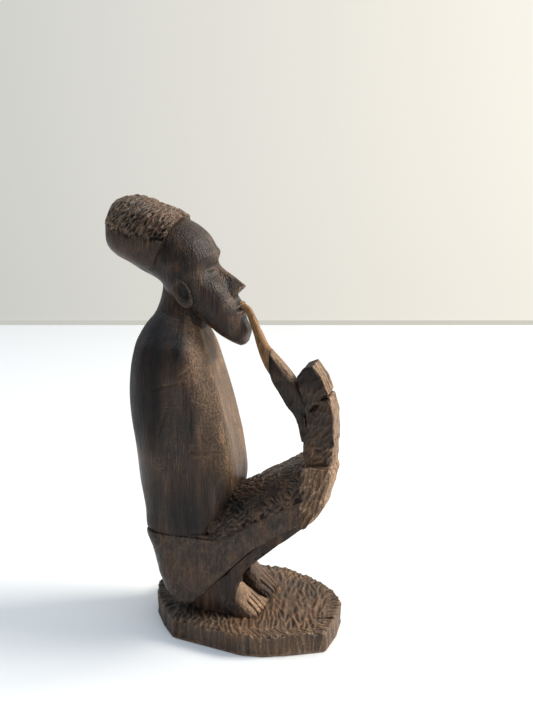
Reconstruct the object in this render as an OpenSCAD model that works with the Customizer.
// Carved wooden figurine: a man squatting on a chip-carved base and smoking a pipe.
// Millimetres, +Z up. The figure faces +X and its right side is at -Y. The origin is on the
// underside of the base, on the plane that halves the figure.
// One block of wood, divided along its carved creases so that each carved mass is a node.

/* [Base] */
// Thickness of the base
base_t = 9; // [7:0.5:12]
// Width of the knife-cut bevel round the top edge of the base
base_bevel = 1.6; // [0.6:0.2:2.4]

/* [Legs] */
// Distance from the middle plane to the outer side of a thigh
thigh_w = 19.5; // [18:0.5:21]
// How far the outer side of a shin stands back behind the thigh
shin_set_back = 4; // [3:0.5:6]
// Bevel round the outer side of each thigh and knee
leg_bevel = 2.4; // [1:0.2:3]
// Width of a foot across its toes
foot_w = 16; // [12:0.2:17]
// Diameter of the gouge that parts the toes
toe_gouge = 1.6; // [0.8:0.2:2.2]

/* [Body] */
// Greatest width of the torso, shoulder to shoulder
torso_w = 41; // [38:0.5:43]
// Greatest depth of the torso, back to belly
torso_d = 42.4; // [40:0.2:44]
// Diameter of the neck
neck_d = 17.5; // [15:0.25:19]

/* [Head] */
// Greatest width of the skull, without hair
skull_w = 26; // [23:0.5:28]
// Greatest width of the cap of hair
hair_w = 30; // [28.5:0.5:32]
// Height of an ear
ear_h = 12; // [10:0.5:14]

/* [Pipe and arm] */
// Diameter of the dark pipe stem
stem_d = 8; // [6.5:0.25:9]
// Diameter of the mouthpiece between the lips
bit_d = 3.4; // [2.6:0.2:4.6]
// Thickness of the forearm across the arm, front to back
arm_w = 14; // [12:0.5:16]

/* [Smoothness] */
// Points round each rounded section
facets = 28; // [16:4:32]

/* [Hidden] */

ground = 9;
lift = base_t - ground;
blackwood = "#3b2b22";
worn_wood = "#5a4433";
pale_wood = "#b98a4a";
along_x = [1, 0, 0];
along_y = [0, 1, 0];

// How boxy the rounded sections are, from 1, an ellipse, down to 0.5, nearly a box
foot_square = 0.8;
lap_square = 0.62;
skull_square = 0.86;
hair_square = 0.7;
small_square = 0.9;
pipe_square = 0.85;
arm_square = 0.72;

// The outline of the base is chopped straight between these corners
base_outline = [
    [-42.2, 6.5], [-38.3, -5], [-31.8, -15], [-25, -23], [5, -29], [14, -28], [26, -23],
    [36.2, -18], [38, -5.5], [37.6, 7.5], [32, 17.6], [21, 26.8], [9, 32.6], [-8, 34.5],
    [-24, 31.5], [-37, 21.5]
];

// Side outlines of the leg masses as [x, z]; neighbours share their corners
heel_corner = [-19.5, 12];
calf_corner = [6, 38];
knee_low = [27, 52.5];
knee_mid = [27, 62.5];
knee_top = [27, 75];
waist_front = [-8, 43];
waist_back = [-38.5, 43];
thigh_side = [
    waist_back, [-36.6, 34], [-34.2, 23], [-31, 15.5], [-25, 11], heel_corner, calf_corner,
    knee_low, knee_mid, waist_front
];
shin_side = [
    heel_corner, [-17, ground], [-1, ground], [-1, 22], [3, 28.5], [10, 35.4], [17, 41.7],
    [27, 50], knee_low, calf_corner
];
thigh_hub = [-12, 37];
shin_hub = [-4, 26];
knee_hub = [30, 65];
// How far each leg mass reaches towards the middle plane, and the slight bevel of the shin
shin_in = -4;
knee_in = -1.5;
shin_bevel = 0.6;
right_knee_side = [
    [27, 50], [31.5, 54], [34.2, 58.5], [35.4, 63], [36.6, 67], [37.8, 72], [37, 75], knee_top
];
left_knee_side = [[27, 50], [31, 55], [33, 60], [33.4, 66], [33.2, 72.5], [32, 75], knee_top];

// Sections of a foot from heel to toe tips: [x, centre y, share of the width, top z]
foot_rows = [
    [-17, -9, 0.6, 13.5], [-13, -9.2, 0.72, 18], [-6, -9.2, 0.82, 21], [-2, -9, 0.9, 20.8],
    [1, -8.8, 0.96, 18], [4, -8.6, 1, 14.8], [6.4, -8.5, 0.98, 12.2], [7.6, -8.5, 0.92, 10.6]
];
left_foot_shift = 2.5;
// The toes are parted down the sloping front of the foot, from just behind this point
toe_mid = [4.2, -8.5, 14.6];
toe_slope = 47;
toes = 5;
// A groove between toes starts this far up the slope and has this length
toe_groove = [-4, 16];
// Sections of the cloth over the lap: [x, top z]
lap_rows = [[-11, 56.6], [-8, 57.8], [2.3, 61.8], [10.7, 66], [19, 71], [27, 76]];

// Sections of the torso from waist to collar:
// [z, centre x, share of depth, share of width, squareness]
torso_rows = [
    [43, -24, 0.75, 0.95, 0.56], [51, -22.8, 0.86, 0.97, 0.6], [62, -22.7, 0.97, 0.99, 0.68],
    [74, -24.1, 1, 1, 0.76], [87, -26.3, 0.98, 1, 0.78], [97, -27.8, 0.93, 1, 0.78],
    [107, -28.7, 0.84, 0.99, 0.78], [116, -29, 0.73, 0.93, 0.78], [121, -29.1, 0.63, 0.8, 0.8],
    [126, -28.6, 0.52, 0.62, 0.84], [130, -27, 0.44, 0.48, 0.9]
];
// Sections of the neck, from the collar up into the skull: [z, centre x, share of diameter]
neck_rows = [[130, -25.9, 1.06], [135, -25.5, 1], [141, -25, 1], [150, -24.5, 1.05]];

// The head leans back: head_up runs from chin to crown, head_front out of the face
head_tilt = 27;
head_mid = [-11.75, 0, 142.25];
head_up = [-sin(head_tilt), 0, cos(head_tilt)];
head_front = [cos(head_tilt), 0, sin(head_tilt)];
// Sections of the skull from chin to crown: [height, front, back, share of width]
skull_rows = [
    [-27, 0.5, -3, 0.28], [-24, 2.6, -5.5, 0.5], [-20, 2.6, -8, 0.64], [-14, 3.6, -11, 0.76],
    [-8, 3.4, -14, 0.88], [-2, 3, -17, 0.96], [4, 2.4, -20, 1], [9.5, 4.4, -20.8, 1],
    [17, 4.2, -26.5, 0.99], [24, 0.8, -30, 0.9], [28, -4, -26, 0.7], [31, -9, -20, 0.4]
];
// The nose as a wedge: [height, root depth, tip depth, half-width]
nose_facets = 16;
nose_rows = [[-9.5, 2, 7.5, 2.9], [-7.5, 2, 9.2, 3.1], [-3, 1.5, 7, 2], [8, 1.5, 4.6, 1.3]];

// The hair is swept back and up; hair_along points at its crown end
hair_sweep = 25;
hair_mid = [-24, 0, 155];
hair_along = [-cos(hair_sweep), 0, sin(hair_sweep)];
hair_rise = [sin(hair_sweep), 0, cos(hair_sweep)];
// Sections of the hair from brow to crown: [along, top, bottom, share of width]
hair_rows = [
    [5, 8.4, -16.4, 0.88], [9, 9.8, -16.6, 0.96], [16, 9.6, -16.6, 1], [22, 9.4, -16.6, 0.98],
    [27, 8.2, -14.5, 0.88], [30.6, 5.2, -8.8, 0.7]
];

// Sections of an ear outwards from the skull: [side, share of its size]
ear_rows = [[9, 0.8], [13.6, 1], [15, 0.9]];
ear_front = -11;
ear_height = 1;
// Half-width and half-height of an ear as shares of its height
ear_share = [0.28, 0.5];

// The mouthpiece's middle line from inside the lips: [point, fall below +X, share of bit_d]
mouthpiece_rows = [
    [[-5.5, -0.3, 133.4], 27, 0.9], [[-1, -1, 131.1], 40, 0.95], [[2.6, -3.2, 125.9], 50, 1.1],
    [[6, -6, 120.6], 45, 1.4], [[9, -8.7, 116.6], 28, 1.9]
];
// The stem runs from an upright joint above the thumb down to its lower end
pipe_joint = [12.4, -11, 113.2];
joint_size = [7.4, 10];
stem_rows = [[[16.9, -11.7, 107.6], 30, 1.15], [[21.8, -12, 101.4], 50, 1.04]];
stem_end = [27, -12, 94.6];
stem_fall = 58;
// The lower end is cut back to a blunt taper: the step up the stem, and its share of stem_d
stem_taper = [-1.4, 0, 2.2];
stem_tip = 0.75;

// Side outlines of the hand as [x, z]; the pipe lies in the notch between thumb and fingers
notch_low = [27, 92.5];
wrist_left = [25.2, 84];
wrist_right = [38, 84];
fingers_side = [
    wrist_right, [37.6, 96], [35.4, 103], [32.8, 109], [29.2, 114], [25.6, 112.5], [23, 109],
    notch_low, [28, 84]
];
thumb_side = [
    wrist_left, [28, 84], notch_low, [16.6, 108.6], [14.9, 104.5], [18, 99], [21.2, 94.5],
    [24, 89]
];
fingers_hub = [31, 97];
thumb_hub = [23.2, 93.5];
hand_bevel = 1.4;
hand_near = -15.8;
hand_far = -3.4;
// Sections of the forearm from knee to wrist, for an arm 14 thick: [z, left x, right x]
arm_rows = [[75, 26.4, 37.4], [79, 25.4, 38], [84, 25.2, 38]];
arm_share = arm_w / 14;

function signed_pow(v, p) = sign(v) * pow(abs(v), p);

function mean(points) = [for (k = [0:2]) sum([for (p = points) p[k]]) / len(points)];

function sum(v, i = 0) = i < len(v) ? v[i] + sum(v, i + 1) : 0;

// Ring of points round a rounded section; half is [along u, along v] and squareness runs
// from 1, an ellipse, down to 0.5, nearly a box
function ring(centre, u, v, half, squareness = 1, n = facets) = [
    for (i = [0:n - 1])
        let (t = 360 * (i + 0.5) / n)
        centre + u * half.x * signed_pow(cos(t), squareness)
            + v * half.y * signed_pow(sin(t), squareness)
];

// Ring across X with a flat underside and an arched top
function arch(x, centre_y, half_w, z_low, z_high, squareness) = [
    for (i = [0:facets - 1])
        let (t = 180 * i / (facets - 1))
        [
            x,
            centre_y + half_w * signed_pow(cos(t), squareness),
            z_low + (z_high - z_low) * signed_pow(sin(t), squareness)
        ]
];

// Point on the head's own axes
function on_head(front, side, height) =
    head_mid + head_front * front + along_y * side + head_up * height;

// Move each corner of a counter-clockwise outline inwards by d
function inset(points, d) = [
    for (i = [0:len(points) - 1])
        let (
            n = len(points),
            before = unit(points[i] - points[(i + n - 1) % n]),
            after = unit(points[(i + 1) % n] - points[i]),
            half_way = unit(square_to(before) + square_to(after))
        )
        points[i] + half_way * d / (half_way * square_to(before))
];

function unit(v) = v / norm(v);

function square_to(v) = [-v.y, v.x];

// Closed skin over rings of equal length, capped by fans round their middle points or hubs
module loft(rings, low_end = undef, high_end = undef) {
    n = len(rings[0]);
    last = len(rings) - 1;
    low_hub = n * (last + 1);
    points = concat(
        [for (r = rings) each r],
        [
            is_undef(low_end) ? mean(rings[0]) : low_end,
            is_undef(high_end) ? mean(rings[last]) : high_end
        ]
    );
    sides = [
        for (j = [0:last - 1], i = [0:n - 1])
            let (a = j * n + i, b = j * n + (i + 1) % n)
            each [[a, a + n, b + n], [a, b + n, b]]
    ];
    caps = [
        for (i = [0:n - 1])
            each [
                [low_hub, i, (i + 1) % n],
                [low_hub + 1, last * n + (i + 1) % n, last * n + i]
            ]
    ];
    polyhedron(points, concat(sides, caps));
}

// Slab with a side outline in [x, z], from y_in out to y_out at -Y, bevelled on the outside;
// hub is a point of the outline's plane that sees all its corners
module side_slab(outline, hub, y_in, y_out, bevel) {
    function at(points, y) = [for (p = points) [p.x, y, p.y]];
    loft(
        [at(outline, y_in), at(outline, y_out + bevel), at(inset(outline, bevel), y_out)],
        [hub.x, y_in, hub.y], [hub.x, y_out, hub.y]
    );
}

module foot_form() {
    loft([
        for (r = foot_rows) arch(r[0], r[1], r[2] * foot_w / 2, ground, r[3], foot_square)
    ]);
}

module lap_form() {
    function underside(x) =
        waist_front.y + max(0, x - waist_front.x) * (knee_mid.y - waist_front.y)
            / (knee_mid.x - waist_front.x);
    loft([
        for (r = lap_rows) arch(r[0], 0, thigh_w, underside(r[0]), r[1], lap_square)
    ]);
}

module torso_form() {
    loft([
        for (r = torso_rows)
            ring([r[1], 0, r[0]], along_x, along_y, [r[2] * torso_d, r[3] * torso_w] / 2, r[4])
    ]);
}

module skull_form() {
    loft([
        for (r = skull_rows)
            ring(
                on_head((r[1] + r[2]) / 2, 0, r[0]), head_front, along_y,
                [(r[1] - r[2]) / 2, r[3] * skull_w / 2], skull_square
            )
    ]);
}

module hair_form() {
    loft([
        for (r = hair_rows)
            ring(
                hair_mid + hair_along * r[0] + hair_rise * (r[1] + r[2]) / 2, hair_rise, along_y,
                [(r[1] - r[2]) / 2, r[3] * hair_w / 2], hair_square
            )
    ]);
}

// Ring across the pipe at centre, square to a line that falls by fall degrees below +X
function pipe_ring(centre, fall, size) =
    ring(centre, along_y, [sin(fall), 0, cos(fall)], size / 2, pipe_square);

module stem_form() {
    loft([
        pipe_ring(pipe_joint, 0, joint_size),
        for (r = stem_rows) pipe_ring(r[0], r[1], [stem_d, stem_d * r[2]]),
        pipe_ring(stem_end + stem_taper, stem_fall, [stem_d, stem_d]),
        pipe_ring(stem_end, stem_fall, [stem_d, stem_d] * stem_tip)
    ]);
}

module foot() {
    span = foot_w * 0.94;
    color(blackwood)
        difference() {
            foot_form();
            for (i = [1:toes - 1])
                translate([toe_mid.x, toe_mid.y + span * (0.5 - i / toes), toe_mid.z])
                    rotate([0, 90 + toe_slope, 0])
                        translate([0, 0, toe_groove[0]])
                            cylinder(h = toe_groove[1], d = toe_gouge, $fn = 24);
        }
}

module thigh() {
    color(blackwood) side_slab(thigh_side, thigh_hub, 0, -thigh_w, leg_bevel);
}

module shin() {
    color(blackwood)
        difference() {
            side_slab(shin_side, shin_hub, shin_in, shin_set_back - thigh_w, shin_bevel);
            foot_form();
        }
}

module knee(outline) {
    color(worn_wood) side_slab(outline, knee_hub, knee_in, -thigh_w, leg_bevel);
}

module ear() {
    color(blackwood)
        difference() {
            loft([
                for (r = ear_rows)
                    ring(
                        on_head(ear_front, -r[0], ear_height), head_front, head_up,
                        ear_share * r[1] * ear_h, small_square
                    )
            ]);
            skull_form();
            hair_form();
        }
}

module base() {
    function at(points, z) = [for (p = points) [p.x, p.y, z]];
    bevel_z = base_t - base_bevel;
    color(worn_wood)
        union() {
            linear_extrude(bevel_z) polygon(base_outline);
            loft([at(base_outline, bevel_z), at(inset(base_outline, base_bevel), base_t)]);
        }
}

module right_foot() {
    translate([0, 0, lift]) foot();
}

module left_foot() {
    translate([0, left_foot_shift, lift]) mirror([0, 1, 0]) foot();
}

module right_shin() {
    translate([0, 0, lift]) shin();
}

module left_shin() {
    translate([0, left_foot_shift, lift]) mirror([0, 1, 0]) shin();
}

module right_thigh() {
    translate([0, 0, lift]) thigh();
}

module left_thigh() {
    translate([0, 0, lift]) mirror([0, 1, 0]) thigh();
}

module right_knee() {
    translate([0, 0, lift]) knee(right_knee_side);
}

module left_knee() {
    translate([0, 0, lift]) mirror([0, 1, 0]) knee(left_knee_side);
}

module lap_cloth() {
    color(worn_wood)
        translate([0, 0, lift])
            difference() {
                lap_form();
                torso_form();
            }
}

module torso() {
    color(blackwood) translate([0, 0, lift]) torso_form();
}

module neck() {
    color(blackwood)
        translate([0, 0, lift])
            difference() {
                loft([
                    for (r = neck_rows)
                        ring([r[1], 0, r[0]], along_x, along_y, [neck_d, neck_d] * r[2] / 2)
                ]);
                skull_form();
                hair_form();
            }
}

module head() {
    color(blackwood)
        translate([0, 0, lift])
            union() {
                skull_form();
                loft([
                    for (r = nose_rows)
                        ring(
                            on_head((r[1] + r[2]) / 2, 0, r[0]), head_front, along_y,
                            [(r[2] - r[1]) / 2, r[3]], small_square, nose_facets
                        )
                ]);
            }
}

module hair() {
    color(blackwood)
        translate([0, 0, lift])
            difference() {
                hair_form();
                skull_form();
            }
}

module right_ear() {
    translate([0, 0, lift]) ear();
}

module left_ear() {
    translate([0, 0, lift]) mirror([0, 1, 0]) ear();
}

module right_forearm() {
    color(worn_wood)
        translate([0, 0, lift])
            loft([
                for (r = arm_rows)
                    ring(
                        [(r[1] + r[2]) / 2, (hand_near + hand_far) / 2, r[0]], along_x, along_y,
                        [(r[2] - r[1]) * arm_share, hand_far - hand_near] / 2, arm_square
                    )
            ]);
}

module right_hand() {
    color(blackwood)
        translate([0, 0, lift])
            difference() {
                side_slab(fingers_side, fingers_hub, hand_far, hand_near, hand_bevel);
                stem_form();
            }
}

module right_thumb() {
    color(blackwood)
        translate([0, 0, lift])
            difference() {
                side_slab(thumb_side, thumb_hub, hand_far, hand_near, hand_bevel);
                stem_form();
            }
}

module pipe_stem() {
    color(blackwood) translate([0, 0, lift]) stem_form();
}

module pipe_mouthpiece() {
    color(pale_wood)
        translate([0, 0, lift])
            difference() {
                loft([
                    for (r = mouthpiece_rows) pipe_ring(r[0], r[1], [bit_d, bit_d] * r[2]),
                    pipe_ring(pipe_joint, 0, joint_size)
                ]);
                skull_form();
            }
}

base();
right_foot();
left_foot();
right_shin();
left_shin();
right_thigh();
left_thigh();
right_knee();
left_knee();
lap_cloth();
torso();
neck();
head();
hair();
right_ear();
left_ear();
right_forearm();
right_hand();
right_thumb();
pipe_stem();
pipe_mouthpiece();
